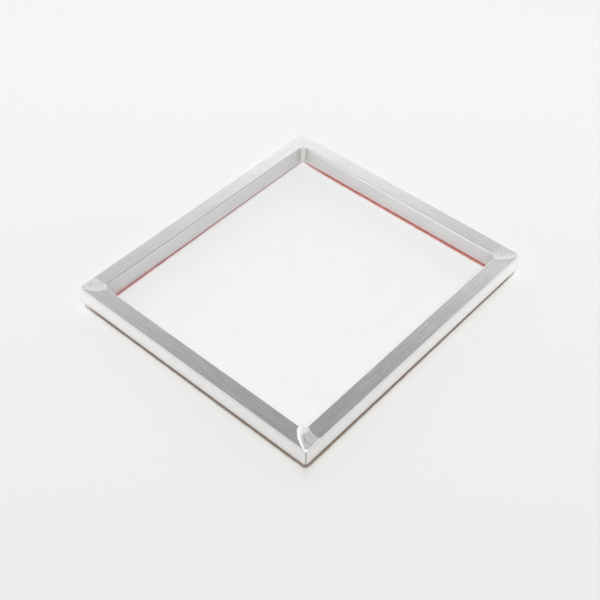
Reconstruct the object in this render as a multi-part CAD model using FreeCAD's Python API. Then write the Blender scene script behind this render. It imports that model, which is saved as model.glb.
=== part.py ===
"""Screen printing frame: four mitred aluminium tubes, welded at the corners and ground flush,
with a polyester mesh stretched across the underside and glued to the tubes.

Millimetres, +Z up. The origin is the centre of the underside, X is the short side and +Y points
to the back rail, the one that a press clamps. The frame stands on its print side, mesh down.
"""

import FreeCAD, Part

import os
from math import sqrt

from FreeCAD import Placement, Rotation, Vector

# Frame
FRAME_X = 432.0
FRAME_Y = 482.0
TUBE_WIDTH = 25.0
TUBE_HEIGHT = 30.0
WALL = 2.0
EDGE_RADIUS = 1.5        # long edges of the extrusion
CAVITY_RADIUS = 0.6      # long edges of the hollow inside it
CORNER_RADIUS = 2.0      # upright edge of each outer corner, ground round after welding

# Welds
GROOVE_WIDTH = 7.0       # mouth of the V that is cut along each mitre
GROOVE_ROOT = 1.0        # its width at the inside of the wall
OUTER_GROOVE = 3.0       # how far the upright outer weld reaches along each face
INNER_LEG = 4.0          # leg of the fillet weld in each inner corner
INNER_HOLLOW = 0.5       # how far the face of that fillet is dished

# How far the grinder took each outer corner down: along the two rails and along the upright edge,
# at the top and at the underside.
CORNER_GRIND = {
    "front_left": {"top": (4.0, 2.0), "under": (7.0, 5.0)},
    "front_right": {"top": (4.5, 2.0), "under": (4.0, 2.5)},
    "back_right": {"top": (4.0, 2.0), "under": (4.0, 2.5)},
    "back_left": {"top": (4.0, 2.0), "under": (5.0, 3.0)},
}

# Mesh and glue
COAT = 0.15              # glue brushed on under the mesh
MESH = 0.15              # thickness of the woven mesh
TRIM = 1.8               # mesh and glue stop this far inside the outer faces
TRIM_CORNER = 8.0        # and are cut across the outer corners
BEAD_REACH = {"front": 4.0, "right": 4.0, "back": 5.0, "left": 2.5}  # glue inside the frame, on the mesh
BEAD_EDGE = 0.2          # its thickness at its free edge
BEAD_HEIGHT = 1.5        # and how high it climbs the tube
COAT_PAST_BEAD = 1.0     # glue under the mesh runs this much further in than the bead

MESH_BOTTOM = COAT
TUBE_BOTTOM = MESH_BOTTOM + MESH
TUBE_TOP = TUBE_BOTTOM + TUBE_HEIGHT
SPARE = 2.0              # cutters run this far past what they cut

# Each side is built as the front rail, then turned about Z. Each corner is built as front_left.
SIDES = {"front": 0, "right": 90, "back": 180, "left": 270}
CORNERS = {"front_left": 0, "front_right": 90, "back_right": 180, "back_left": 270}


def half_sizes(quarter_turn):
    """Half the frame's length along and across a side that is turned by this angle."""
    if quarter_turn in (0, 180):
        return FRAME_X / 2, FRAME_Y / 2
    return FRAME_Y / 2, FRAME_X / 2


def turned(shape, angle):
    """The shape turned about Z, from the front or the front left corner to its own place."""
    copy = shape.copy()
    copy.Placement = Placement(Vector(), Rotation(Vector(0, 0, 1), angle))
    return copy


def prism(points, bottom, top):
    """An upright prism on a plan outline."""
    outline = [Vector(x, y, bottom) for x, y in points]
    face = Part.Face(Part.makePolygon(outline + outline[:1]))
    return face.extrude(Vector(0, 0, top - bottom))


def side_wedge(half_length, half_depth, outer, inner, bottom, top):
    """A front side's mitred strip, from outer to inner millimetres inside its outer face."""
    near, far = half_length - outer, half_length - inner
    return prism(
        [(-near, outer - half_depth), (near, outer - half_depth),
         (far, inner - half_depth), (-far, inner - half_depth)],
        bottom, top)


def horizontal_edges(shape, heights):
    """The edges of the shape that lie level at one of these heights."""
    return [e for e in shape.Edges
            if e.BoundBox.ZLength < 1e-6 and any(abs(e.BoundBox.ZMin - z) < 1e-6 for z in heights)]


def upright_edges(shape, half_x, half_y):
    """The upright edges of the shape at the four corners of this rectangle."""
    return [e for e in shape.Edges
            if e.BoundBox.ZLength > 1
            and abs(abs(e.BoundBox.Center.x) - half_x) < 1e-6
            and abs(abs(e.BoundBox.Center.y) - half_y) < 1e-6]


def ground_corner(along, down, height, direction):
    """The wedge that the grinder takes off an outer corner at front left, at this height.
    direction is +1 for the top corner and -1 for the one at the underside."""
    half_x, half_y = FRAME_X / 2, FRAME_Y / 2
    past = SPARE * (1 / along + 1 / along + 1 / down)
    apex = Vector(-half_x - SPARE, -half_y - SPARE, height + direction * SPARE)
    corners = [
        apex,
        apex + Vector(along * (1 + past), 0, 0),
        apex + Vector(0, along * (1 + past), 0),
        apex - Vector(0, 0, direction * down * (1 + past)),
    ]
    faces = []
    for left_out in range(4):
        ring = [c for i, c in enumerate(corners) if i != left_out]
        faces.append(Part.Face(Part.makePolygon(ring + ring[:1])))
    return Part.makeSolid(Part.makeShell(faces))


def corner_grinds():
    """All eight ground corners, in place."""
    cuts = []
    for corner, angle in CORNERS.items():
        half_x, half_y = half_sizes(angle)
        for place, height, direction in (("top", TUBE_TOP, 1), ("under", TUBE_BOTTOM, -1)):
            along, down = CORNER_GRIND[corner][place]
            cut = ground_corner(along, down, height, direction)
            cut.translate(Vector(FRAME_X / 2 - half_x, FRAME_Y / 2 - half_y, 0))
            cuts.append(turned(cut, angle))
    return cuts


def frame_envelope():
    """The outer shape of the welded frame, solid inside: rounded edges and ground corners."""
    half_x, half_y = FRAME_X / 2, FRAME_Y / 2
    block = Part.makeBox(FRAME_X, FRAME_Y, TUBE_HEIGHT, Vector(-half_x, -half_y, TUBE_BOTTOM))
    block = block.makeFillet(CORNER_RADIUS, upright_edges(block, half_x, half_y))
    opening = Part.makeBox(
        FRAME_X - 2 * TUBE_WIDTH, FRAME_Y - 2 * TUBE_WIDTH, TUBE_HEIGHT + 2 * SPARE,
        Vector(TUBE_WIDTH - half_x, TUBE_WIDTH - half_y, TUBE_BOTTOM - SPARE))
    ring = block.cut(opening)
    ring = ring.makeFillet(EDGE_RADIUS, horizontal_edges(ring, (TUBE_BOTTOM, TUBE_TOP)))
    return ring.cut(corner_grinds())


def cavity(half_length, half_depth):
    """The hollow of a front rail, run on past its mitres."""
    bar = Part.makeBox(
        2 * half_length, TUBE_WIDTH - 2 * WALL, TUBE_HEIGHT - 2 * WALL,
        Vector(-half_length, WALL - half_depth, TUBE_BOTTOM + WALL))
    long_edges = [e for e in bar.Edges if e.BoundBox.XLength > half_length]
    return bar.makeFillet(CAVITY_RADIUS, long_edges)


def face_groove(half_x, half_y, face_height, inward):
    """The V along a front left mitre in the top (inward -1) or the underside (inward +1)."""
    across = Vector(1, -1, 0) / sqrt(2)
    start = Vector(-half_x, -half_y, 0) - Vector(1, 1, 0) * SPARE
    section = [
        (-GROOVE_WIDTH / 2, -SPARE), (GROOVE_WIDTH / 2, -SPARE), (GROOVE_WIDTH / 2, 0),
        (GROOVE_ROOT / 2, WALL), (-GROOVE_ROOT / 2, WALL), (-GROOVE_WIDTH / 2, 0),
    ]
    outline = [start + across * side + Vector(0, 0, face_height + inward * depth)
               for side, depth in section]
    face = Part.Face(Part.makePolygon(outline + outline[:1]))
    return face.extrude(Vector(1, 1, 0) * (TUBE_WIDTH + 2 * SPARE))


def upright_groove(half_x, half_y):
    """The groove down the outer edge of a front left mitre, between the two face grooves."""
    outline = [(-SPARE, -SPARE), (OUTER_GROOVE, -SPARE), (OUTER_GROOVE, 0),
               (WALL, WALL), (0, OUTER_GROOVE), (-SPARE, OUTER_GROOVE)]
    return prism([(x - half_x, y - half_y) for x, y in outline],
                 TUBE_BOTTOM + WALL, TUBE_TOP - WALL)


def inner_fillet(half_x, half_y):
    """The dished fillet in a front left inner corner, run on into the tubes."""
    x, y = TUBE_WIDTH - half_x, TUBE_WIDTH - half_y
    z = TUBE_BOTTOM
    middle = INNER_LEG / 2 - INNER_HOLLOW / sqrt(2)
    toes = [Vector(x + INNER_LEG, y, z), Vector(x, y + INNER_LEG, z)]
    face_line = Part.Arc(toes[0], Vector(x + middle, y + middle, z), toes[1]).toShape()
    back = [toes[1], Vector(x - SPARE, y + INNER_LEG, z), Vector(x - SPARE, y - SPARE, z),
            Vector(x + INNER_LEG, y - SPARE, z), toes[0]]
    outline = Part.Wire([face_line, *Part.makePolygon(back).Edges])
    return Part.Face(outline).extrude(Vector(0, 0, TUBE_HEIGHT))


def corner_welds(envelope):
    """The weld runs of all four corners by node name, and the grooves that they fill."""
    welds, grooves = {}, []
    for corner, angle in CORNERS.items():
        half_x, half_y = half_sizes(angle)
        top = turned(face_groove(half_x, half_y, TUBE_TOP, -1), angle)
        under = turned(face_groove(half_x, half_y, TUBE_BOTTOM, 1), angle)
        upright = turned(upright_groove(half_x, half_y), angle)
        grooves += [top, under, upright]
        welds[f"{corner}_top_weld"] = envelope.common(top)
        welds[f"{corner}_under_weld"] = envelope.common(under)
        welds[f"{corner}_outer_weld"] = envelope.common(upright)
        fillet = turned(inner_fillet(half_x, half_y), angle)
        welds[f"{corner}_inner_weld"] = fillet.cut(envelope)
    return welds, grooves


def rails(envelope, grooves):
    """The four hollow tubes, mitred and grooved for the welds."""
    made = {}
    for side, angle in SIDES.items():
        half_length, half_depth = half_sizes(angle)
        wedge = side_wedge(half_length, half_depth, 0, TUBE_WIDTH, TUBE_BOTTOM, TUBE_TOP)
        hollow = cavity(half_length, half_depth)
        tube = envelope.common(turned(wedge, angle)).cut(turned(hollow, angle))
        made[f"{side}_rail"] = tube.cut(grooves)
    return made


def trimmed_sheet(bottom, top):
    """The glued area of the underside: trimmed inside the outer faces and across the corners."""
    x, y = FRAME_X / 2 - TRIM, FRAME_Y / 2 - TRIM
    cut = TRIM_CORNER
    return prism([(-x + cut, -y), (x - cut, -y), (x, -y + cut), (x, y - cut),
                  (x - cut, y), (-x + cut, y), (-x, y - cut), (-x, -y + cut)], bottom, top)


def glue_coats():
    """The glue brushed on under the mesh, one strip for each rail."""
    made = {}
    sheet = trimmed_sheet(0, COAT)
    for side, angle in SIDES.items():
        half_length, half_depth = half_sizes(angle)
        inner = TUBE_WIDTH + BEAD_REACH[side] + COAT_PAST_BEAD
        strip = side_wedge(half_length, half_depth, 0, inner, 0, COAT)
        made[f"{side}_glue_coat"] = sheet.common(turned(strip, angle))
    return made


def glue_beads(envelope, fillets):
    """The glue that wells up inside the frame, one bead along the foot of each rail."""
    made = {}
    for side, angle in SIDES.items():
        half_length, half_depth = half_sizes(angle)
        inner = TUBE_WIDTH + BEAD_REACH[side]
        section = [
            (TUBE_WIDTH - EDGE_RADIUS, 0), (inner, 0), (inner, BEAD_EDGE),
            (TUBE_WIDTH, BEAD_HEIGHT), (TUBE_WIDTH - EDGE_RADIUS, BEAD_HEIGHT),
        ]
        outline = [Vector(-half_length, depth - half_depth, TUBE_BOTTOM + height)
                   for depth, height in section]
        face = Part.Face(Part.makePolygon(outline + outline[:1]))
        bar = face.extrude(Vector(2 * half_length, 0, 0))
        wedge = side_wedge(half_length, half_depth, 0, inner + SPARE, TUBE_BOTTOM, TUBE_TOP)
        bead = turned(bar.common(wedge), angle)
        made[f"{side}_glue_bead"] = bead.cut([envelope, *fillets])
    return made


def only_solids(shape):
    """The shape as one solid, or as a compound of its solids."""
    solids = [s for s in shape.Solids if s.Volume > 1e-3]
    return solids[0] if len(solids) == 1 else Part.makeCompound(solids)


def main():
    envelope = frame_envelope()
    nodes, grooves = corner_welds(envelope)
    fillets = [shape for name, shape in nodes.items() if name.endswith("inner_weld")]
    nodes.update(rails(envelope, grooves))
    nodes.update(glue_beads(envelope, fillets))
    nodes.update(glue_coats())
    nodes["screen_mesh"] = trimmed_sheet(MESH_BOTTOM, TUBE_BOTTOM)
    os.makedirs("parts", exist_ok=True)
    for name, shape in nodes.items():
        part = only_solids(shape)
        part.exportStep(f"parts/{name}.step")
        print(f"{name}: {len(part.Solids)} solid, {part.Volume:.1f} mm3, valid {part.isValid()}")


main()
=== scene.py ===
"""Looks of the screen printing frame: mitred aluminium tubes with ground corner welds, red mesh glue
and a white polyester mesh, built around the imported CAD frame. Metres, +Z up, mesh side down.
"""

from math import cos, pi, radians, sin
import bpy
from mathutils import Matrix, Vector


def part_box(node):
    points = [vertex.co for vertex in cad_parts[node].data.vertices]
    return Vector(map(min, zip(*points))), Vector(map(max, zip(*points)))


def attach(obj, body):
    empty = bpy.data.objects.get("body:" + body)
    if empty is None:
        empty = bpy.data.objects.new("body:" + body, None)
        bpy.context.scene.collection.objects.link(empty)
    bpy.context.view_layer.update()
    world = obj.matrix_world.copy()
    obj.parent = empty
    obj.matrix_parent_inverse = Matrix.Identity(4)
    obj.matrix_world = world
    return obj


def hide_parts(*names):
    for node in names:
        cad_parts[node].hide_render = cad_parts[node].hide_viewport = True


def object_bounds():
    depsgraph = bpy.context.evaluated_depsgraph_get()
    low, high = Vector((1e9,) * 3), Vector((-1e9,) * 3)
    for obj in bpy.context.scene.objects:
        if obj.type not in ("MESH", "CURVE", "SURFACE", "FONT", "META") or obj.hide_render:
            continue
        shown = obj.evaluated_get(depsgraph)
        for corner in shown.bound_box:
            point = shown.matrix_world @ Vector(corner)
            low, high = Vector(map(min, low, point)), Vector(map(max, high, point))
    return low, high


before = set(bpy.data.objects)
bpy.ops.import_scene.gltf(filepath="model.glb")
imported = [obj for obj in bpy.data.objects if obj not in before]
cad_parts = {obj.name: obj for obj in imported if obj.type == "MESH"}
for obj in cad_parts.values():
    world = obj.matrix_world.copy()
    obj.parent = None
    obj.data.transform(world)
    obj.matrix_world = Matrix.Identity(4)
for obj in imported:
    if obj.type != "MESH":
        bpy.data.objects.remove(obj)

from types import SimpleNamespace

import bpy
import numpy as np
from mathutils import Matrix, Vector

CAD_LOW, CAD_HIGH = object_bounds()
MM = 0.001

# Sides and corners in order round the frame, with their quarter turns from the front piece
SIDES = {"front": 0, "right": 1, "back": 2, "left": 3}
CORNERS = {"front_left": 0, "front_right": 1, "back_right": 2, "back_left": 3}
CORNER_SIGNS = dict(zip(CORNERS, [(-1, -1), (1, -1), (1, 1), (-1, 1)]))

# Sizes read from the frame
HALF_X, HALF_Y = CAD_HIGH.x, CAD_HIGH.y
RAIL_LOW, RAIL_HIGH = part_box("front_rail")
TUBE_WIDTH = RAIL_HIGH.y - RAIL_LOW.y
TUBE_BOTTOM, TUBE_TOP = RAIL_LOW.z, RAIL_HIGH.z
MESH_LOW, MESH_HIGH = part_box("screen_mesh")
FILLET_LOW, FILLET_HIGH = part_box("front_left_inner_weld")
INNER_LEG = FILLET_HIGH.x - FILLET_LOW.x  # leg of the fillet weld in each inner corner

# Tube section
WALL = 2.0 * MM
EDGE_RADIUS = 0.8 * MM
FOOT_RADIUS = 0.5 * MM  # outer bottom edge
CAVITY_RADIUS = 0.6 * MM
TOP_CROWN = 0.02 * MM  # how much the faces fall away towards their edges
OUTER_CROWN = 0.03 * MM
CROWN_REACH = 3.0 * MM
FLARE, FLARE_REACH = 0.4 * MM, 6.0 * MM  # how much the outer faces flare out at the foot
DRAWN_WAVE, DRAWN_LENGTHS = 0.012 * MM, (25 * MM, 90 * MM)  # slow waves in the drawn tube
UPRIGHT_RADII = dict(zip(CORNERS, (2.6, 1.6, 4.0, 3.0)))  # ground round, in millimetres

# Strip filed off the inner wall of the back tube, just under its top edge; its white is a painted highlight
BEVEL = 0.5 * MM  # how far it cuts into the wall
BEVEL_TOP, BEVEL_HEIGHT = 1.2 * MM, 1.4 * MM  # where it starts below the top, and its height
BEVEL_END = 4.0 * MM
LEFT_HIGHLIGHT = 0.25  # how strong such a strip's painted highlight is on the left tube, where no strip is cut, away from the far corner
LEFT_HIGHLIGHT_REACH = 60 * MM

# Tops that the welds pulled out of level: their slope across the tube, outer edge up
TWIST = {"back": 0.012, "right": 0.011, "left": -0.007}
TWIST_DEPTH = 6 * MM  # how far below the top it dies out
TWIST_END = 15 * MM  # it stops over this length at the inner corners
BACK_TWIST_FROM, BACK_TWIST_LENGTH = -10 * MM, 150 * MM  # it grows along the tube, towards the right
SIDE_TWIST_LENGTH = 190 * MM  # and from the middle towards the back

# Knocks on the top edges, sizes in millimetres
NICKS_PER_EDGE = 4
NICK_WIDTHS, NICK_DEPTHS = (0.5, 1.2), (0.05, 0.15)

# Welds
FACE_REACH = 4.95 * MM  # from the mitre to the edge of the weld, along a rail, on top and underneath
OUTER_REACH = 3.0 * MM  # the same on the outer faces
INNER_REACH = 3.2 * MM  # and at the inner edges, where the fillet covers it
ROOT_GAP = 0.5 * MM  # half the gap between the tubes at the root of the weld
INNER_HOLLOW = 0.5 * MM  # dish of the inner fillet

# How far each corner's ground patch runs along the rails on X and Y, in millimetres from the corner,
# at the outer edge, the middle and the inner edge of the top
PATCHES = {
    "front_left": {"x": (4, 25.5, 30), "y": (26, 27.8, 28)},
    "front_right": {"x": (5, 25.5, 34.5), "y": (27, 27.5, 32)},
    "back_right": {"x": (2, 20.5, 35), "y": (5, 24.5, 35)},
    "back_left": {"x": (3, 18, 34), "y": (3, 18, 34)},
}
PATCH_OUTER = 5.0 * MM  # ground part of the outer faces, from the corner
PATCH_DEPTH = 1.05 * MM  # what is no further below the top counts as part of it
NOT_GROUND, ALL_GROUND = -9 * MM, 9 * MM  # distances clearly outside and inside a patch
DISH = 0.05 * MM  # how deep the grinder dished a patch
DISH_EDGE = 3.0 * MM
RAGGED = 0.65 * MM  # how uneven the borders of the patches are
GROUND_REACH = 3.0 * MM  # how far down the walls the grinding bends them
SCOOP = 0.6 * MM  # deeper cut at the front right corner, steep beside the rail on X
SCOOP_STEEP, SCOOP_LONG = 3.0 * MM, 22.0 * MM
SCOOP_OPENS = 1.4  # how much wider its slope is at the inner edge
LIP = 8.0 * MM  # rough spot round the inner corner
FAN_FROM, FAN_TO = 3.0 * MM, 9.5 * MM  # its rough white part fades between these
FAN_MARGIN = 2.0 * MM  # and may begin this far outside the cut
SEAM_PLACE, SEAM_WIDTH, SEAM_REACH = 0.3 * MM, 1.5 * MM, 6.0 * MM  # dark line down the upright edge there

# Corner facets: along both rails and down the upright edge
FACETS = {
    "front_left": {"top": (3.5, 1.8), "under": (7.5, 6.0)},
    "front_right": {"top": (5.5, 2.1), "under": (4.0, 2.5)},
    "back_right": {"top": (4.0, 2.0), "under": (4.0, 2.5)},
    "back_left": {"top": (4.0, 2.0), "under": (5.0, 3.0)},
}
FACET_SOFT = 0.12 * MM

# Glue. Pairs run from one end of a rail to the other: millimetres, or shares from 0 to 1.
BEAD_REACH = {"front": (4, 4), "right": (4, 4), "back": (5, 4.1), "left": (0.8, 4.6)}
BEAD_CLIMB = {"front": 1.3, "right": 1.3, "back": 0.9, "left": 0.25}  # up the tube
BEAD_CREASE_SHADE = {"front": (0.2, 0.2), "right": (0.2, 0.2), "back": (0, 0), "left": (0.7, 0.35)}  # painted shade in the crease at the tube's foot; 1 is darkest brown
BEAD_LIP = 0.08 * MM  # how thick a bead ends on the mesh
BEAD_UNDER = 1.1 * MM  # how far it runs in under the tube's rounded edge
LEFT_SWELL = 1.6  # the left bead gets wide only near the front
THIN_BEAD, THIN_LENGTH = 0.3, 30 * MM  # the far corner's share of the back bead, and its reach
RIM_CLIMB = 0.15 * MM  # glue wetting the rounded outer edge of the tube, dark as part of the painted contact shadow
COAT_PAST_BEAD = 0.8  # glue under the mesh runs this much further in than the bead
SHADOW_FRINGE = {"front": (4.6, 5.8), "right": (5.8, 3.2), "back": (1.5, 1.5), "left": (1.5, 1.5)}  # outwards past the tube: a dark sheet on the floor as painted contact shadow
FRINGE_ENDS = {"front": (0.1, 0.9), "right": (0.9, 0.1), "back": (0.4, 0.4), "left": (0.4, 0.4)}
FRINGE_TAPER, FADE_LENGTH = 20 * MM, 45 * MM  # where a fringe narrows and pales, from its ends
# Its section: how far out as a share of its reach, and how high
FRINGE_SECTION = ((0.08, 0.3), (0.2, 0.25), (0.4, 0.18), (0.6, 0.13), (0.8, 0.09), (1.0, 0.04))
THIN_FROM = 0.4  # share of the fringe that is still dark and thick, the painted shadow's core
COAT_RADII = dict(zip(CORNERS, (12.0, 2.6, 6.5, 4.5)))
LEFT_WALL_SHADE_REACH = 8 * MM  # painted shade on the mesh beside the left rail

# Mesh
MESH_CORNER = 8 * MM  # the sheet's corners are cut off at 45 degrees
THREAD_PITCH = 0.23 * MM

# How finely the pieces are divided
ROUND_STEPS = 7
SIDE_STEPS = (36, 24, 8, 24)  # top, inner wall, underside, outer face
CROSS_STEPS = 26
FINE, COARSE = 0.9 * MM, 2.5 * MM
FINE_ZONE = 46 * MM
GLUE_STEP = 1.2 * MM

# Brightness of the satin faces, the inner walls darker as painted shade; the outer ones are darker towards
# the front right corner
OUTER_TONE, FRONT_RIGHT_TONE, SHADED_INNER_TONE, SHADED_LEFT_TONE = 0.955, 0.83, 0.715, 0.665
FRONT_RIGHT_REACH = 430 * MM
SHOULDER_SHADE = 3.5 * MM  # how far down the outer faces carry a painted dark reflection below their top edge
HEEL_LIGHT = 5.0 * MM  # how far up they carry painted light above the floor

# Strokes of the grinder: their direction in plan, and how often they change across and along it
STROKE_WAY, STROKE_FINE, STROKE_LONG = (0.92, -0.38), 420, 90
STROKE_RAGGED = 8 * MM  # how far they carry a patch's border to and fro

# Camera
VIEW_AZIMUTH, VIEW_ELEVATION, VIEW_ROLL = 40.71, 46.36, 1.02
VIEW_DISTANCE = 1.6369
VIEW_OFFSET = (0.0048, 0.0220)
LENS = 66.41
AHEAD = (-sin(radians(VIEW_AZIMUTH)), cos(radians(VIEW_AZIMUTH)), 0)


# ---------------- shapes

def turned(points, side):
    """Points of a front piece turned about Z to their own side."""
    c, s = ((1, 0), (0, 1), (-1, 0), (0, -1))[side]
    x, y, z = np.moveaxis(points, -1, 0)
    return np.stack([c * x - s * y, s * x + c * y, z], axis=-1)


def half_sizes(side):
    """Half the frame's length along a side, and across it."""
    return (HALF_X, HALF_Y) if side % 2 == 0 else (HALF_Y, HALF_X)


def smooth(value):
    """Smooth step from 0 to 1."""
    t = np.clip(value, 0, 1)
    return t * t * (3 - 2 * t)


def drift(along, seed, shortest=12 * MM, longest=120 * MM, waves=7):
    """A hand-made unevenness along a line, about -1 to 1."""
    rng = np.random.default_rng(seed)
    lengths = np.geomspace(shortest, longest, waves)
    total = np.zeros_like(along)
    for length in lengths:
        total += np.sin(2 * pi * along / length + rng.uniform(0, 2 * pi)) * (length / longest) ** 0.35
    return total / (0.6 * waves) ** 0.5 / 1.3


def field(points, seed, shortest, longest, waves=9):
    """A smooth unevenness in space, about -1 to 1."""
    rng = np.random.default_rng(seed)
    total = np.zeros(points.shape[:-1])
    for length in np.geomspace(shortest, longest, waves):
        direction = rng.normal(size=3)
        direction /= np.linalg.norm(direction)
        total += np.sin(2 * pi * (points @ direction) / length + rng.uniform(0, 2 * pi))
    return total / waves ** 0.5


def through(values, depth):
    """The parabola through three millimetre values at the outer edge, middle and inner edge."""
    outer, middle, inner = (v * MM for v in values)
    t = np.clip(depth / TUBE_WIDTH, 0, 1)
    return outer * (1 - t) * (1 - 2 * t) + middle * 4 * t * (1 - t) + inner * t * (2 * t - 1)


def patch_distance(points):
    """How far inside a ground corner patch each point is; negative outside."""
    far_outside = -1.0
    best = np.full(points.shape[:-1], far_outside)
    for corner in CORNERS:
        along_x, along_y = from_corner(corner, points)
        top = np.minimum(*corner_reach(corner, points))
        upright = PATCH_OUTER - np.maximum(along_x, along_y)
        inner_wall = np.minimum(along_x, along_y) > TUBE_WIDTH - 0.5 * MM
        wall = np.where(inner_wall, far_outside, upright)
        best = np.maximum(best, np.where(points[..., 2] > TUBE_TOP - PATCH_DEPTH, top, wall))
    return best


def wall_gaps(x, y):
    """Distances into the frame's opening from the walls on X and on Y; negative over a tube."""
    return HALF_X - TUBE_WIDTH - np.abs(x), HALF_Y - TUBE_WIDTH - np.abs(y)


def from_corner(corner, points):
    """Distances inwards from an outer corner, along X and along Y."""
    sign_x, sign_y = CORNER_SIGNS[corner]
    return HALF_X - sign_x * points[..., 0], HALF_Y - sign_y * points[..., 1]


def corner_reach(corner, points):
    """Distances from a corner's ground patch borders, across the rail on X and the rail on Y."""
    along_x, along_y = from_corner(corner, points)
    reach = PATCHES[corner]
    ragged = RAGGED * field(points, 17, 2.2 * MM, 7 * MM)
    return through(reach["x"], along_y) - along_x + ragged, through(reach["y"], along_x) - along_y + ragged


def scooped(points):
    """How far the deeper cut has lowered the front right corner, from 0; 1 is the full depth outside."""
    past_x, past_y = corner_reach("front_right", points)
    inward = np.clip((points[..., 1] + HALF_Y) / TUBE_WIDTH, 0, 1)
    fall = 1 - np.exp(-np.maximum(past_x, 0) / (SCOOP_STEEP * (1 + SCOOP_OPENS * inward)))
    return fall * smooth(past_y / SCOOP_LONG) * (1 + inward)


def rounded(points, radii=UPRIGHT_RADII):
    """The points after the upright outer edges were ground round: a square corner becomes a quarter disc."""
    p = points.copy()
    for corner, signs in CORNER_SIGNS.items():
        radius = radii[corner] * MM
        centre = np.array([HALF_X - radius, HALF_Y - radius])
        out = points[..., :2] * signs - centre
        past_centre = (out > 0).all(axis=-1)[..., None]
        reach = np.maximum(np.linalg.norm(out, axis=-1), 1e-9)
        pull = (out.max(axis=-1) / reach)[..., None]
        p[..., :2] = np.where(past_centre, (centre + out * pull) * signs, p[..., :2])
    return p


def facet_cut(points):
    """The points after the facets were ground on the outer corners."""
    p = rounded(points)
    for corner, (sign_x, sign_y) in CORNER_SIGNS.items():
        for place, height, up in (("top", TUBE_TOP, 1), ("under", TUBE_BOTTOM, -1)):
            along, down = (v * MM for v in FACETS[corner][place])
            normal = np.array([sign_x / along, sign_y / along, up / down])
            size = np.linalg.norm(normal)
            normal /= size
            tip = np.array([sign_x * HALF_X, sign_y * HALF_Y, height])
            past = (p - tip) @ normal + 1 / size
            near = np.linalg.norm(p - tip, axis=-1) < 5 * along
            push = np.where(near, FACET_SOFT * np.logaddexp(0, past / FACET_SOFT), 0)
            p -= push[..., None] * normal
    return p


def ground_down(points):
    """The points after the corners were ground: facets at the outer corners and dished patches."""
    p = facet_cut(points)
    top = smooth((points[..., 2] - TUBE_TOP + GROUND_REACH) / GROUND_REACH)
    inside = patch_distance(points)
    ripple = 1 + 0.35 * field(points, 5, 3 * MM, 14 * MM)
    p[..., 2] -= top * (DISH * smooth(inside / DISH_EDGE) * ripple + SCOOP * scooped(points))
    return p


def relief(points):
    """The finished outer surface: slight waves of drawn tube, the filed edge and the ground corners."""
    p = points.copy()
    for axis in range(2):
        wave = 1 + field(points, 11 + axis, *DRAWN_LENGTHS)
        p[..., axis] -= np.sign(points[..., axis]) * DRAWN_WAVE * wave
    rise = smooth((p[..., 2] - TUBE_BOTTOM) / TUBE_TOP)
    p[..., 2] -= DRAWN_WAVE * rise * (1 + field(points, 13, *DRAWN_LENGTHS))
    below = TUBE_TOP - points[..., 2]
    on_wall = smooth(1 - np.abs(HALF_Y - TUBE_WIDTH - points[..., 1]) / EDGE_RADIUS)
    away = smooth((HALF_X - TUBE_WIDTH - np.abs(points[..., 0])) / BEVEL_END)
    slope = np.clip((BEVEL_TOP + BEVEL_HEIGHT - below) / BEVEL_HEIGHT, 0, 1)
    p[..., 1] += BEVEL * slope * on_wall * away
    p[..., 2] += twisted(points)
    return ground_down(p)


def twisted(points):
    """Lift of the tops of three tubes whose welds pulled them slightly out of level."""
    x, y, z = np.moveaxis(points, -1, 0)
    top = smooth((z - TUBE_TOP + TWIST_DEPTH) / TWIST_DEPTH)
    gap_x, gap_y = wall_gaps(x, y)
    across_x, across_y = -gap_x - TUBE_WIDTH / 2, -gap_y - TUBE_WIDTH / 2
    back = TWIST["back"] * smooth((x - BACK_TWIST_FROM) / BACK_TWIST_LENGTH) * across_y * (y > 0)
    sides = np.where(x > 0, TWIST["right"], TWIST["left"]) * smooth(y / SIDE_TWIST_LENGTH) * across_x
    back, sides = back * smooth(gap_x / TWIST_END), sides * smooth(gap_y / TWIST_END)
    return top * (np.where(gap_y < gap_x, back, 0) + np.where(gap_x < gap_y, sides, 0))


def section_ring(inset, radii):
    """Depth and height round the tube's section, from the top of the outer face over the top.

    The radii are those of the outer top, inner top, inner bottom and outer bottom edges."""
    left, right, low, high = inset, TUBE_WIDTH - inset, TUBE_BOTTOM + inset, TUBE_TOP - inset
    edges = [(left, high, 1, -1), (right, high, -1, -1), (right, low, -1, 1), (left, low, 1, 1)]
    arcs = []
    for k, (depth, height, way, rise) in enumerate(edges):
        radius = radii[k]
        angles = [pi - pi / 2 * (k + j / ROUND_STEPS) for j in range(ROUND_STEPS + 1)]
        arcs.append([(depth + radius * (way + cos(a)), height + radius * (rise + sin(a))) for a in angles])
    loop = []
    for k, arc in enumerate(arcs):
        end = arcs[(k + 1) % 4][0]
        even = np.arange(1, SIDE_STEPS[k]) / SIDE_STEPS[k]
        places = 0.35 * even + 0.65 * (0.5 - 0.5 * np.cos(pi * even))
        loop += arc + [tuple(arc[-1][n] + (end[n] - arc[-1][n]) * j for n in (0, 1)) for j in places]
    return np.array(loop)


def crowned(ring):
    """The section with its top and the top of its outer face falling away towards the edges."""
    depth, height = ring[:, 0], ring[:, 1]
    below = TUBE_TOP - height
    on_top, on_side = smooth(1 - below / EDGE_RADIUS), smooth(1 - depth / EDGE_RADIUS)
    near_edge = np.exp(-depth / CROWN_REACH) + np.exp(-(TUBE_WIDTH - depth) / CROWN_REACH)
    lowered = height - TOP_CROWN * on_top * near_edge
    moved = depth + OUTER_CROWN * on_side * np.exp(-below / CROWN_REACH)
    moved = moved + FLARE * on_side * (1 - np.exp(-(height - TUBE_BOTTOM) / FLARE_REACH))
    return np.column_stack([moved, lowered])


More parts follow.
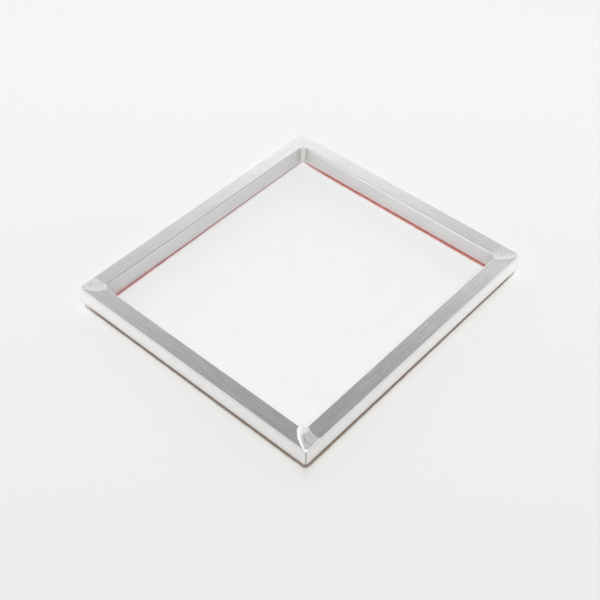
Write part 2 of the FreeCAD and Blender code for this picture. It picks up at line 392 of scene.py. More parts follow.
def ring_spans():
    """Where each rounded edge starts and ends in the section ring, as pairs of indices."""
    spans, start = [], 0
    for steps in SIDE_STEPS:
        spans.append((start, start + ROUND_STEPS))
        start += ROUND_STEPS + steps
    return spans


OUTER_TOP, INNER_TOP, INNER_BOTTOM, OUTER_BOTTOM = ring_spans()
RING = crowned(section_ring(0, (EDGE_RADIUS, EDGE_RADIUS, EDGE_RADIUS, FOOT_RADIUS)))
HOLLOW = section_ring(WALL, (CAVITY_RADIUS,) * 4)
RING_COUNT = len(RING)


def weld_reach():
    """How far the weld reaches along the rail from the mitre, round the section ring."""
    reach = np.zeros(RING_COUNT)
    blend = smooth(np.linspace(0, 1, ROUND_STEPS + 1))
    out = OUTER_REACH + (FACE_REACH - OUTER_REACH) * blend
    inn = INNER_REACH + (FACE_REACH - INNER_REACH) * blend
    reach[OUTER_TOP[0]:OUTER_TOP[1] + 1] = out
    reach[OUTER_TOP[1] + 1:INNER_TOP[0]] = FACE_REACH
    reach[INNER_TOP[0]:INNER_TOP[1] + 1] = inn[::-1]
    reach[INNER_BOTTOM[0]:INNER_BOTTOM[1] + 1] = inn
    reach[INNER_BOTTOM[1] + 1:OUTER_BOTTOM[0]] = FACE_REACH
    reach[OUTER_BOTTOM[0]:OUTER_BOTTOM[1] + 1] = out[::-1]
    reach[OUTER_BOTTOM[1] + 1:] = OUTER_REACH
    return reach


REACH = weld_reach()


def stations(length):
    """Fractions from -1 to 1 along a rail, closer together near its ends."""
    fine = np.arange(0, FINE_ZONE, FINE)
    rest = length - 2 * FINE_ZONE
    middle = np.linspace(FINE_ZONE, length - FINE_ZONE, int(rest / COARSE) + 1)
    places = np.concatenate([fine, middle, length - fine[::-1]])
    return places / length * 2 - 1


def perimeter(ring):
    """Distance walked round a closed ring, with one more value at the end for the full turn."""
    steps = np.linalg.norm(np.roll(ring, -1, axis=0) - ring, axis=1)
    return np.concatenate([[0], np.cumsum(steps)])


def put(name, data):
    """A new object in the scene."""
    made = bpy.data.objects.new(name, data)
    bpy.context.scene.collection.objects.link(made)
    return made


def loft(name, rows, uv=None, wrap=False, marks=None, sharp=40):
    """A closed mesh through rows of closed sections. uv may have one more column, for the full turn."""
    rows = np.asarray(rows)
    count, width = rows.shape[:2]
    index = np.arange(count * width).reshape(count, width)
    faces, corners = [], []
    for r in range(count if wrap else count - 1):
        following = (r + 1) % count
        for c in range(width):
            d = (c + 1) % width
            faces.append((index[r, c], index[r, d], index[following, d], index[following, c]))
            corners += [(r, c), (r, c + 1), (r + 1, c + 1), (r + 1, c)]
    if not wrap:
        faces.append(tuple(index[0][::-1]))
        corners += [(0, c) for c in range(width)][::-1]
        faces.append(tuple(index[-1]))
        corners += [(count - 1, c) for c in range(width)]
    mesh = bpy.data.meshes.new(name)
    mesh.from_pydata([tuple(p) for p in rows.reshape(-1, 3)], [], faces)
    if uv is not None:
        layer = mesh.uv_layers.new(name="grain")
        pairs = np.array([uv[r % count][c % uv.shape[1]] for r, c in corners], np.float32)
        layer.data.foreach_set("uv", pairs.ravel())
    for key, values in (marks or {}).items():
        attribute = mesh.attributes.new(key, "FLOAT", "POINT")
        attribute.data.foreach_set("value", np.asarray(values, np.float32).ravel())
    mesh.validate()
    mesh.polygons.foreach_set("use_smooth", [True] * len(mesh.polygons))
    mesh.set_sharp_from_angle(angle=radians(sharp))
    return put(name, mesh)


def settle(piece, node, material):
    """Puts a finished piece in the place of its CAD node."""
    piece.data.materials.append(material)
    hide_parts(node)
    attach(piece, "root")
    return piece


# ---------------- tubes and welds

def rail_points(side, fractions, ring, reach):
    """Sections of a rail at these fractions of its length, mitred."""
    half_length, half_depth = half_sizes(side)
    depth, height = ring[:, 0], ring[:, 1]
    span = half_length - depth - reach
    x = fractions[:, None] * span[None, :]
    y = np.broadcast_to(depth - half_depth, x.shape)
    z = np.broadcast_to(height, x.shape)
    return turned(np.stack([x, y, z], axis=-1), side)


def nicks(points, side, seed):
    """Knocks along the two top edges of a rail."""
    rng = np.random.default_rng(seed)
    half_length, half_depth = half_sizes(side)
    p = points.copy()
    for inner in (0, 1):
        depth = inner * TUBE_WIDTH
        for _ in range(NICKS_PER_EDGE):
            x = rng.uniform(-0.85, 0.85) * half_length
            width = rng.uniform(*NICK_WIDTHS) * MM
            deep = rng.uniform(*NICK_DEPTHS) * MM
            spot = turned(np.array([x, depth - half_depth, TUBE_TOP]), side)
            push = turned(np.array([0, (1 - 2 * inner), -1]) / 2 ** 0.5, side)
            offset = points - spot
            along = offset[..., 0] if side % 2 == 0 else offset[..., 1]
            cross = np.sqrt(np.maximum((offset ** 2).sum(axis=-1) - along ** 2, 0))
            fall = np.exp(-(along / width) ** 2 - (cross / (1.1 * EDGE_RADIUS)) ** 2)
            p += (deep * fall)[..., None] * push
    return p


def marks_on(points):
    """Values and distances that the materials read from the mesh."""
    return {"ground": patch_distance(points), **wall_marks(points), **cut_marks(points)}


def wall_marks(points):
    """The kinds of wall, and what is on them: the strip and its painted highlight, heat marks, painted shade
    and painted light, and tones.
    """
    x, y, z = np.moveaxis(points, -1, 0)
    gap_x, gap_y = wall_gaps(x, y)
    nearest, other = np.minimum(gap_x, gap_y), np.maximum(gap_x, gap_y)
    below = TUBE_TOP - z
    below_top = smooth((below - 1.1 * EDGE_RADIUS) / (0.8 * EDGE_RADIUS))
    by_wall = smooth((nearest + 1.2 * MM) / (0.8 * MM))
    inner = by_wall * below_top
    outer = smooth((2 * MM - np.minimum(HALF_X - np.abs(x), HALF_Y - np.abs(y))) / MM) * below_top
    on_left = (gap_x < gap_y) & (x < 0)
    on_back = (gap_y <= gap_x) & (y > 0)
    # The strip's white is a painted highlight; on the left tube it is painted where no strip is cut.
    left_highlight = LEFT_HIGHLIGHT + (1 - LEFT_HIGHLIGHT) * np.exp(-gap_y / LEFT_HIGHLIGHT_REACH)
    strip_share = np.select([on_back, on_left & (y > 0), on_left], [1.0, left_highlight, LEFT_HIGHLIGHT], 0.0)
    strip = by_wall * strip_share * smooth((below - BEVEL_TOP + 0.2 * MM) / (0.4 * MM))
    strip = strip * smooth((BEVEL_TOP + BEVEL_HEIGHT - below) / (0.5 * MM))
    # A painted dark reflection in a line just under the inner top edge of the back and left tubes.
    arris_dark_reflection = smooth(1 - np.abs(below - 0.4 * MM) / (0.8 * MM)) * smooth((nearest + 1.1 * MM) / (0.5 * MM))
    arris_dark_reflection = arris_dark_reflection * (on_back | on_left) * smooth(other / (5 * MM))
    soot = inner * np.exp(-(other / (11 * MM)) ** 2) * np.where((x < 0) & (y > 0), 1.0, 0.3)
    # Painted shade in the crevice at the foot of the left inner wall.
    crevice_shade = inner * on_left * smooth((TUBE_BOTTOM + 0.6 * MM - z) / (0.5 * MM))
    # Painted light at the foot of the back and left inner walls.
    foot = by_wall * (1.0 * on_back + 0.4 * on_left) * smooth((TUBE_BOTTOM + 7 * MM - z) / (5 * MM))
    # The outer faces get a painted dark reflection below their top edge and painted light above the floor.
    return {"inner": inner, "outer": outer, "left": inner * on_left, "strip": strip, "arris_dark_reflection": arris_dark_reflection,
            "soot": soot, "crevice_shade": crevice_shade, "foot": foot,
            "shoulder_shade": outer * np.exp(-below / SHOULDER_SHADE), "heel_light": outer * np.exp(-z / HEEL_LIGHT)}


def cut_marks(points):
    """The scooped cut at the front right corner, its rough lip, its edge with a painted highlight and its
    seam, and a ramp that makes the faces darker towards it.
    """
    in_x, in_y = from_corner("front_right", points)
    below = TUBE_TOP - points[..., 2]
    past_x, past_y = corner_reach("front_right", points)
    opening = 0.7 + 0.7 * np.clip(in_y / TUBE_WIDTH, 0, 1)
    fan = np.where(np.minimum(past_x, past_y) > -FAN_MARGIN, past_x / opening, NOT_GROUND)
    seam = np.exp(-((in_y - in_x - SEAM_PLACE) / SEAM_WIDTH) ** 2) * (np.maximum(in_x, in_y) < SEAM_REACH)
    # A painted highlight along the outer top edge beside the cut.
    edge = smooth(1 - np.abs(in_x - 0.3 * MM) / MM) * (below < 1.2 * MM)
    edge = edge * smooth((PATCHES["front_right"]["y"][0] * MM + 4 * MM - in_y) / (4 * MM))
    return {"fan": fan, "edge": edge, "seam": seam * smooth((below - 3 * MM) / MM),
            "lip": np.hypot(in_x - TUBE_WIDTH, in_y - TUBE_WIDTH),
            "front_right_nearness": np.clip(1 - np.hypot(in_x, in_y) / FRONT_RIGHT_REACH, 0, 1)}


def make_rail(side_name, material):
    side = SIDES[side_name]
    fractions = stations(2 * half_sizes(side)[0])
    skin = rail_points(side, fractions, RING, REACH)
    skin = nicks(relief(skin), side, 31 + side)
    root = np.full(RING_COUNT, ROOT_GAP)
    ends = rail_points(side, np.array([-1.0, 1.0]), HOLLOW, root)
    rows = np.concatenate([ends[:1], skin, ends[1:]])
    along = np.concatenate([[-1], fractions, [1]]) * half_sizes(side)[0] + side * 0.7
    around = perimeter(RING)
    uv = np.stack(np.broadcast_arrays(along[:, None], around[None, :]), axis=-1)
    marks = {key: value[:, ::-1] for key, value in marks_on(rows).items()}
    piece = loft(f"{side_name}_rail_tube", rows[:, ::-1], uv[:, ::-1], wrap=True, marks=marks)
    return settle(piece, f"{side_name}_rail", material)


def cross_path(half_length, half_depth, depth, reach):
    """Plan points round the front left corner at this depth, from the front rail to the left rail."""
    t = np.linspace(-1, 1, CROSS_STEPS + 1)
    corner = np.array([-half_length + depth, -half_depth + depth])
    return corner + np.stack([np.maximum(-t, 0), np.maximum(t, 0)], axis=-1) * reach


def make_weld(corner_name, place, indices, material):
    """A weld run that fills the groove between two tubes, flush with the envelope."""
    corner = CORNERS[corner_name]
    half_length, half_depth = half_sizes(corner)
    rows = []
    for i in indices:
        depth, height = RING[i]
        plan = cross_path(half_length, half_depth, depth, REACH[i])
        surface = np.column_stack([plan, np.full(len(plan), height)])
        inner, level = HOLLOW[i]
        x, y = inner - half_length, inner - half_depth
        root = np.array([[x, y + ROOT_GAP, level], [x + ROOT_GAP, y, level]])
        rows.append(np.concatenate([turned(surface, corner), turned(root, corner)]))
    rows = np.array(rows)
    rows[:, :-2] = relief(rows[:, :-2])
    uv = np.stack([rows[..., 1], rows[..., 0] + rows[..., 2]], axis=-1)
    marks = marks_on(rows)
    if place != "top":
        marks["ground"] = np.full(rows.shape[:2], ALL_GROUND)
    piece = loft(f"{corner_name}_{place}_weld_run", rows, uv, marks=marks)
    return settle(piece, f"{corner_name}_{place}_weld", material)


def make_fillet(corner_name, material):
    """The fillet weld in an inner corner: dished, faintly rippled, rounded over at the top."""
    corner = CORNERS[corner_name]
    half_length, half_depth = half_sizes(corner)
    wall_steps = np.linspace(TUBE_BOTTOM, TUBE_TOP - EDGE_RADIUS, 36)
    turns = np.linspace(0, pi / 2, ROUND_STEPS + 1)[1:]
    heights = np.concatenate([wall_steps, TUBE_TOP - EDGE_RADIUS + EDGE_RADIUS * np.sin(turns)])
    insets = np.concatenate([np.zeros(len(wall_steps)), EDGE_RADIUS * (1 - np.cos(turns))])
    across = np.linspace(0, 1, 11)
    rows = []
    for height, inset in zip(heights, insets):
        x, y = TUBE_WIDTH - half_length - inset, TUBE_WIDTH - half_depth - inset
        leg = INNER_LEG + 0.35 * MM * sin(height / MM * 2.1) + 0.2 * MM * sin(height / MM * 5.3)
        ripple = 0.10 * MM * sin(2 * pi * height / (1.7 * MM))
        hollow = (INNER_HOLLOW + ripple) * np.sin(pi * across)
        plan_x = x + leg * (1 - across) - hollow * 0.7
        plan_y = y + leg * across - hollow * 0.7
        face = np.column_stack([plan_x, plan_y, np.full(len(across), height)])
        back = np.array([[x - 0.3 * MM, y - 0.3 * MM, height]])
        rows.append(turned(np.concatenate([face, back]), corner))
    rows = np.array(rows)
    uv = np.stack([rows[..., 2], rows[..., 0] - rows[..., 1]], axis=-1)
    # Painted shade in the crevice at the fillet's foot.
    foot = 3 * smooth((TUBE_BOTTOM + 1.3 * MM - rows[..., 2]) / (0.8 * MM))
    marks = {"ground": np.full(rows.shape[:2], NOT_GROUND), "inner": np.ones(rows.shape[:2]), "crevice_shade": foot}
    piece = loft(f"{corner_name}_inner_weld_fillet", rows, uv, marks=marks)
    return settle(piece, f"{corner_name}_inner_weld", material)


# ---------------- glue and mesh

def strip_places(side_name):
    """Fractions and distances along a rail for the glue."""
    half_length = half_sizes(SIDES[side_name])[0]
    places = np.linspace(-1, 1, int(2 * half_length / GLUE_STEP))
    return places, places * half_length


def varied(pair, places, power=1.0):
    """A millimetre value that changes from one end of a rail to the other, later with a higher power."""
    return (pair[0] + (pair[1] - pair[0]) * ((places + 1) / 2) ** power) * MM


def bead_reach(side_name, along):
    """How far a bead reaches over the mesh at these distances along a rail, and how full it is."""
    half_length = half_sizes(SIDES[side_name])[0]
    full = np.ones_like(along)
    if side_name == "back":
        full = THIN_BEAD + (1 - THIN_BEAD) * smooth((half_length - TUBE_WIDTH - along) / THIN_LENGTH)
    power = LEFT_SWELL if side_name == "left" else 1.0
    places = np.clip(along / half_length, -1, 1)
    return varied(BEAD_REACH[side_name], places, power) * full, full


def make_bead(side_name, material):
    """Glue that wells up on the mesh along the foot of a rail."""
    side = SIDES[side_name]
    half_length, half_depth = half_sizes(side)
    places, along = strip_places(side_name)
    floor = MESH_HIGH.z
    reach, full = bead_reach(side_name, along)
    reach = reach * (1 + 0.10 * drift(along, 50 + side))
    climb = BEAD_CLIMB[side_name] * MM * full * (1 + 0.12 * drift(along, 60 + side, 6 * MM, 70 * MM))
    # Painted shade in the crease between tube and mesh: the bead turns mauve, then brown.
    crease_shading = np.clip(varied(BEAD_CREASE_SHADE[side_name], places) / MM + (1 - full), 0, 1)
    bend = np.linspace(0, 1, 9)
    rows, crease_shade, root, crest_highlight = [], [], [], []
    for place, out, up, crease_darkness in zip(places, reach, climb, crease_shading):
        tail = [TUBE_WIDTH + out * 0.98, TUBE_WIDTH - BEAD_UNDER]
        depth = np.concatenate([TUBE_WIDTH + out * bend ** 1.4, tail])
        height = np.concatenate([floor + BEAD_LIP + (up - BEAD_LIP) * (1 - bend) ** 2.2, [floor, floor]])
        depth[0] -= BEAD_LIP
        x = place * (half_length - depth)
        rows.append(turned(np.column_stack([x, depth - half_depth, height]), side))
        crease_shade.append(np.full(len(depth), crease_darkness))
        root.append(np.concatenate([(1 - 0.8 * crease_darkness) * np.exp(-((bend - 0.3) / 0.26) ** 2), [0, 0]]))
        # A painted highlight along the top edge of the bead, where it climbs the wall.
        crest_highlight.append(np.concatenate([smooth(1 - bend / 0.2), [0, 0]]))
    marks = {"crease_shade": np.array(crease_shade), "root": np.array(root), "crest_highlight": np.array(crest_highlight)}
    piece = loft(f"{side_name}_glue_bead_line", np.array(rows), marks=marks, sharp=60)
    return settle(piece, f"{side_name}_glue_bead", material)


def make_coat(side_name, material):
    """Glue brushed on under the mesh: it wets the tube's outer edge, then runs on past the tube as a dark
    sheet on the floor, fading to pale, that is a painted contact shadow.
    """
    side = SIDES[side_name]
    half_length, half_depth = half_sizes(side)
    places, along = strip_places(side_name)
    trim = half_sizes(0)[0] - MESH_HIGH.x
    past = (max(BEAD_REACH[side_name]) + COAT_PAST_BEAD) * MM * (1 + 0.10 * drift(along, 70 + side))
    climb = RIM_CLIMB * (1 + 0.15 * drift(along, 80 + side, 4 * MM, 60 * MM))
    end_share = np.where(along < 0, *FRINGE_ENDS[side_name])
    from_ends = half_length - np.abs(along)
    full = smooth(from_ends / FRINGE_TAPER)
    taper = full + (1 - full) * end_share
    shadow_fringe = varied(SHADOW_FRINGE[side_name], places) * taper * (1 + 0.07 * drift(along, 90 + side, 3 * MM, 40 * MM))
    faded = smooth(1 - from_ends / FADE_LENGTH) * (1 - end_share)
    rows, rim, thin = [], [], []
    for place, inner, up, out, fade in zip(places, past, climb, shadow_fringe, faded):
        outline = [
            (-out, 0.0), (TUBE_WIDTH + inner, 0.0), (TUBE_WIDTH + inner, MESH_LOW.z),
            (trim + 0.3 * MM, MESH_LOW.z), (trim + 0.05 * MM, MESH_HIGH.z),
            (1.2 * MM, TUBE_BOTTOM + 0.02 * MM), (0.5 * MM, TUBE_BOTTOM + 0.1 * MM),
            (0.1 * MM, TUBE_BOTTOM + up), (-0.05 * MM, TUBE_BOTTOM + 0.8 * up),
            *((-share * out, thick * MM) for share, thick in FRINGE_SECTION),
        ]
        depth, height = np.array(outline).T
        x = place * (half_length - depth)
        rows.append(turned(np.column_stack([x, depth - half_depth, height]), side))
        # The painted contact shadow: dark near the tube, pale further out and towards the rail's ends, and
        # paler on the tube's rounded edge as a painted highlight.
        rim.append(smooth(1 - depth / (3 * MM)))
        by_tube = 0.35 * smooth((depth + 0.7 * MM) / (0.7 * MM)) * (depth < 0.3 * MM)
        outside = smooth((-depth / out - THIN_FROM) / (1 - THIN_FROM))
        thin.append(np.maximum(np.maximum(outside, by_tube), fade))
    rows = rounded(np.array(rows), COAT_RADII)
    marks = {"rim": np.array(rim)[:, ::-1], "thin": np.array(thin)[:, ::-1]}
    piece = loft(f"{side_name}_glue_coat_and_shadow_fringe", rows[:, ::-1], marks=marks, sharp=60)
    return settle(piece, f"{side_name}_glue_coat", material)


def make_mesh(material):
    """The stretched polyester mesh, trimmed by hand round its edge."""
    half_x, half_y = MESH_HIGH.x, MESH_HIGH.y
    straight = half_y - MESH_CORNER
    ends = np.linspace(straight, half_y, 5)[1:]
    across = np.linspace(-1, 1, 101)
    rows = []
    for y in [*-ends[::-1], *np.linspace(-straight, straight, 112), *ends]:
        x = across * (half_x - max(0.0, abs(y) - straight))
        rows.append([(a, y, MESH_HIGH.z) for a in x] + [(a, y, MESH_LOW.z) for a in x[::-1]])
    rows = np.array(rows)
    uv = np.concatenate([rows, rows[:, :1]], axis=1)[..., :2]
    x, y = rows[..., 0], rows[..., 1]
    reach_x = np.where(x < 0, bead_reach("left", -y)[0], bead_reach("right", y)[0])
    reach_y = np.where(y < 0, bead_reach("front", x)[0], bead_reach("back", -x)[0])
    gap_x, gap_y = wall_gaps(x, y)
    # Painted shade on the mesh beside the left tube, fading towards the back.
    left_wall_shade = np.exp(-np.maximum(x + HALF_X - TUBE_WIDTH, 0) / LEFT_WALL_SHADE_REACH) * np.clip(0.9 - y / HALF_Y, 0, 1)
    marks = {"past_bead": np.minimum(gap_x / reach_x, gap_y / reach_y)[:, ::-1], "left_wall_shade": left_wall_shade[:, ::-1]}
    piece = loft("stretched_mesh", rows[:, ::-1], uv[:, ::-1], marks=marks, sharp=30)
    settle(piece, "screen_mesh", material)


# ---------------- materials

def add(tree, kind, inputs=None, **settings):
    """Adds a shader node, sets its properties, and links or sets its inputs."""
    made = tree.nodes.new("ShaderNode" + kind)
    for key, value in settings.items():
        setattr(made, key, value)
    for key, value in (inputs or {}).items():
        if isinstance(value, bpy.types.NodeSocket):
            tree.links.new(value, made.inputs[key])
        else:
            made.inputs[key].default_value = value
    return made


def calc(tree, operation, a, b=0.0):
    """A Math node's result."""
    return add(tree, "Math", {0: a, 1: b}, operation=operation).outputs[0]


def times(tree, a, b):
    return calc(tree, "MULTIPLY", a, b)


def plus(tree, a, b):
    return calc(tree, "ADD", a, b)


def minus(tree, a, b):
    return calc(tree, "SUBTRACT", a, b)


def larger(tree, a, b):
    return calc(tree, "MAXIMUM", a, b)


def scaled(tree, vector, factors):
    """A vector times three factors."""
    return add(tree, "VectorMath", {0: vector, 1: factors}, operation="MULTIPLY").outputs[0]


def dot(tree, vector, direction):
    """How far a vector reaches in a direction, times the direction's length."""
    return add(tree, "VectorMath", {0: vector, 1: direction}, operation="DOT_PRODUCT").outputs["Value"]


def noise(tree, vector, scale=1.0, detail=2.0, roughness=0.5):
    """Noise from 0 to 1."""
    made = add(tree, "TexNoise", {"Vector": vector, "Scale": scale, "Detail": detail,
                                             "Roughness": roughness})
    return made.outputs["Fac"]


def ramp(tree, value, low, high, start=0.0, end=1.0):
    """Value mapped smoothly from low..high to start..end."""
    made = add(tree, "MapRange",
               {"Value": value, "From Min": low, "From Max": high, "To Min": start, "To Max": end},
               interpolation_type="SMOOTHSTEP")
    return made.outputs["Result"]


def mixed(tree, factor, a, b):
    """A colour between a and b."""
    return add(tree, "Mix", {0: factor, 6: a, 7: b}, data_type="RGBA").outputs[2]


def layered(tree, tone, *layers):
    """A colour with others laid over it in turn, each given by its factor and itself."""
    for factor, color in layers:
        tone = mixed(tree, factor, tone, color)
    return tone


def grey(value, warm=0.0):
    """A neutral colour, a little warmer where warm is above 0."""
    return (value * (1 + warm), value, value * (1 - warm), 1.0)


def new_material(name):
    material = bpy.data.materials.new(name)
    material.use_nodes = True
    tree = material.node_tree
    tree.nodes.clear()
    return material, tree


def finished(material, shader):
    """The material with this shader on its surface."""
    add(material.node_tree, "OutputMaterial", {"Surface": shader.outputs[0]})
    return material


def mark(tree, name, share=None):
    """A value stored on the mesh, or a share of it."""
    value = add(tree, "Attribute", attribute_name=name).outputs["Fac"]
    return value if share is None else times(tree, value, share)


def stroke_space(tree, place):
    """Coordinates for the grinder's strokes: fine across them, long along them."""
    x, y = STROKE_WAY
    height = add(tree, "SeparateXYZ", {0: place}).outputs["Z"]
    made = add(tree, "CombineXYZ", {
        0: dot(tree, place, (-y * STROKE_FINE, x * STROKE_FINE, 0)),
        1: dot(tree, place, (x * STROKE_LONG, y * STROKE_LONG, 0)),
        2: times(tree, height, STROKE_LONG),
    })
    return made.outputs[0]


def blend(tree, factor, a, b):
    """A number between a and b."""
    return add(tree, "Mix", {0: factor, 2: a, 3: b}).outputs[0]


def metal_patterns(tree):
    """Noises that the metal's colour, gloss and bump share."""
    grain = add(tree, "UVMap", uv_map="grain").outputs["UV"]
    place = add(tree, "TexCoord").outputs["Object"]
    lines = noise(tree, scaled(tree, grain, (25, 1100, 0)), detail=3, roughness=0.6)
    bands = noise(tree, scaled(tree, grain, (16, 520, 0)), detail=3, roughness=0.6)
    drawn = plus(tree, times(tree, lines, 0.4), times(tree, bands, 0.6))
    return SimpleNamespace(
        lines=lines, drawn=drawn, streaks=ramp(tree, drawn, 0.35, 0.65),
        mottle=noise(tree, place, scale=90, detail=3),
        cloud=noise(tree, place, scale=22, detail=2),
        specks=noise(tree, scaled(tree, grain, (220, 700, 0)), detail=0),
        strokes=noise(tree, stroke_space(tree, place), detail=3, roughness=0.65),
    )


def ground_masks(tree, strokes):
    """Where the corners were ground, and where the metal there is rough and white; that white is partly a
    painted highlight, and along the edge mark wholly one.
    """
    ground = mark(tree, "ground")
    ragged = times(tree, minus(tree, strokes, 0.5), STROKE_RAGGED)
    within = plus(tree, ground, times(tree, ragged, 0.5))
    patch = ramp(tree, within, -0.3 * MM, 0.6 * MM)
    border = times(tree, patch, ramp(tree, within, 0.6 * MM, 1.6 * MM, 0.8, 0))
    depth = plus(tree, mark(tree, "fan"), ragged)
    fan = times(tree, ramp(tree, depth, FAN_FROM, FAN_TO, 1, 0), ramp(tree, depth, -0.4 * MM, 0.2 * MM))
    fan = times(tree, fan, ramp(tree, strokes, 0.25, 0.6, 0.55, 1.0))
    fan = times(tree, fan, ramp(tree, ground, -1 * MM, 0))
    lip = ramp(tree, plus(tree, mark(tree, "lip"), ragged), 3 * MM, LIP, 0.5, 0)
    white = larger(tree, fan, times(tree, lip, patch))
    white = larger(tree, white, larger(tree, times(tree, border, 0.5), mark(tree, "edge")))
    return patch, white


def top_tone(tree, pattern, patch, white):
    """Colour of the tops: streaks along the tube, and the grinder's strokes at the corners."""
    front_right_nearness, strokes = mark(tree, "front_right_nearness"), pattern.strokes
    bright = mixed(tree, front_right_nearness, grey(0.96, 0.014), grey(0.96, 0.002))
    dull = mixed(tree, front_right_nearness, grey(0.845, 0.004), grey(0.81, 0.002))
    stroked = mixed(tree, front_right_nearness, grey(0.85, 0.01), grey(0.82, 0.004))
    return layered(
        tree, mixed(tree, pattern.streaks, dull, bright),
        (ramp(tree, pattern.mottle, 0.4, 0.75, 0, 0.5), grey(0.84, 0.008)),
        (ramp(tree, pattern.cloud, 0.4, 0.7, 0, 0.5), (0.925, 0.90, 0.885, 1)),
        (ramp(tree, pattern.specks, 0.8, 0.86, 0, 0.6), grey(0.99)),
        (patch, mixed(tree, ramp(tree, strokes, 0.3, 0.7), stroked, grey(0.975, 0.006))),
        (white, mixed(tree, ramp(tree, strokes, 0.3, 0.6), grey(0.88), grey(0.98))))


def outer_tone(tree, pattern, patch):
    """Colour of the outer faces: darker near the front right corner, with a painted dark reflection below the
    top edge and painted light above the floor.
    """
    front_right_nearness = mark(tree, "front_right_nearness")
    return layered(
        tree, mixed(tree, pattern.streaks, grey(OUTER_TONE - 0.03), grey(OUTER_TONE + 0.01)),
        (front_right_nearness, grey(FRONT_RIGHT_TONE, 0.002)),
        (times(tree, patch, ramp(tree, front_right_nearness, 0.4, 0.8, 1, 0)), grey(0.99)),
        (mark(tree, "shoulder_shade"), grey(0.58)),
        (mark(tree, "heel_light"), grey(1.0)))


def shaded_inner_tone(tree, pattern):
    """Colour of the inner walls: darker than the outer faces as painted shade, and darker still on the left
    tube.
    """
    cloudy = plus(tree, times(tree, pattern.cloud, 0.5), times(tree, pattern.drawn, 0.5))
    tone = mixed(tree, ramp(tree, cloudy, 0.35, 0.65),
                 grey(SHADED_INNER_TONE - 0.025, -0.003), grey(SHADED_INNER_TONE + 0.025))
    left = mixed(tree, pattern.cloud, grey(SHADED_LEFT_TONE - 0.02), grey(SHADED_LEFT_TONE + 0.02))
    return mixed(tree, mark(tree, "left"), tone, left)


def wall_stains(tree, pattern, tone):
    """The colour with what marks the walls laid over it: painted highlight, painted dark reflection, heat
    marks, painted shade and light, and the seam.
    """
    return layered(
        tree, tone, (mark(tree, "strip"), grey(0.99)), (mark(tree, "arris_dark_reflection", 0.7), grey(0.45)),
        (mark(tree, "soot", ramp(tree, pattern.mottle, 0.35, 0.6, 0.5, 1.0)), (0.40, 0.40, 0.32, 1)),
        (mark(tree, "foot"), (0.88, 0.87, 0.86, 1)), (mark(tree, "crevice_shade", 0.15), (0.20, 0.13, 0.12, 1)),
        (mark(tree, "seam", 0.8), grey(0.25)))


def aluminium(name):
    """Drawn aluminium tube: lines along the rail, mottling, and coarser, lighter ground patches."""
    material, tree = new_material(name)
    pattern = metal_patterns(tree)
    patch, white = ground_masks(tree, pattern.strokes)
    inner, outer = mark(tree, "inner"), mark(tree, "outer")
    walls = larger(tree, inner, outer)

    # The inner walls take a darker tone as painted shade, and the walls carry painted highlights, painted
    # shade and painted light.
    tone = mixed(tree, outer, top_tone(tree, pattern, patch, white), outer_tone(tree, pattern, patch))
    tone = mixed(tree, inner, tone, shaded_inner_tone(tree, pattern))
    tone = wall_stains(tree, pattern, tone)

    rough = ramp(tree, pattern.drawn, 0.35, 0.7, 0.20, 0.26)
    rough = blend(tree, patch, rough, ramp(tree, pattern.strokes, 0.3, 0.7, 0.28, 0.36))
    rough = blend(tree, white, rough, 0.5)
    rough = blend(tree, walls, rough, 0.5)
    metal = blend(tree, white, blend(tree, patch, 1.0, 0.9), 0.25)
    metal = blend(tree, walls, metal, blend(tree, mark(tree, "strip"), 0.2, 0.0))

    height = blend(tree, patch, times(tree, pattern.lines, 0.012), times(tree, pattern.strokes, 0.5))
    height = minus(tree, height, ramp(tree, pattern.specks, 0.8, 0.86, 0, 0.06))
    bump = add(tree, "Bump", {"Height": height, "Strength": 0.5, "Distance": 0.1 * MM})
    tangent = add(tree, "Tangent", direction_type="UV_MAP", uv_map="grain").outputs[0]
    brushed = minus(tree, 1.0, larger(tree, patch, walls))
    shader = add(tree, "BsdfPrincipled", {
        "Base Color": tone, "Metallic": metal, "Roughness": rough, "Normal": bump.outputs[0],
        "Anisotropic": times(tree, brushed, 0.2), "Anisotropic Rotation": 0.25, "Tangent": tangent,
    })
    return finished(material, shader)


